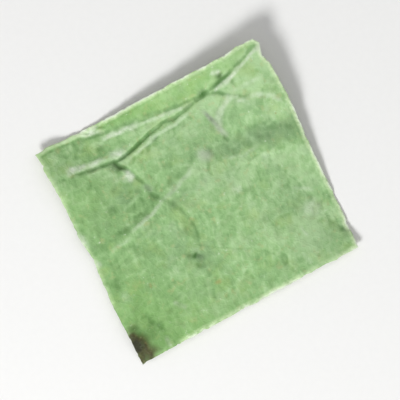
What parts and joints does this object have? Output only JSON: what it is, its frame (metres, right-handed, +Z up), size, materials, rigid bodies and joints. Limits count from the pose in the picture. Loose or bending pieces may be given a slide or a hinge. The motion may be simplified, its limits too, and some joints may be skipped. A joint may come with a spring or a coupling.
{
  "type": "cut square of dried lotus leaf",
  "caption": "Thin, slightly curled square of dried green leaf with forked veins, a raised net beneath and torn edges; lies on its underside.",
  "frame": {"origin": "middle of the bounding box in plan, at the height of the surface that the leaf lies on", "axes": "+Z up through the blade, from its ribbed underside to its upper side; +X along the edge nearest the forked veins; +Y towards that edge"},
  "size_m": [0.033, 0.031, 0.0041],
  "materials": {
    "dried_leaf": "matte"
  },
  "bodies": {
    "root": {"lotus_leaf_square": "dried_leaf"}
  },
  "joints": []
}
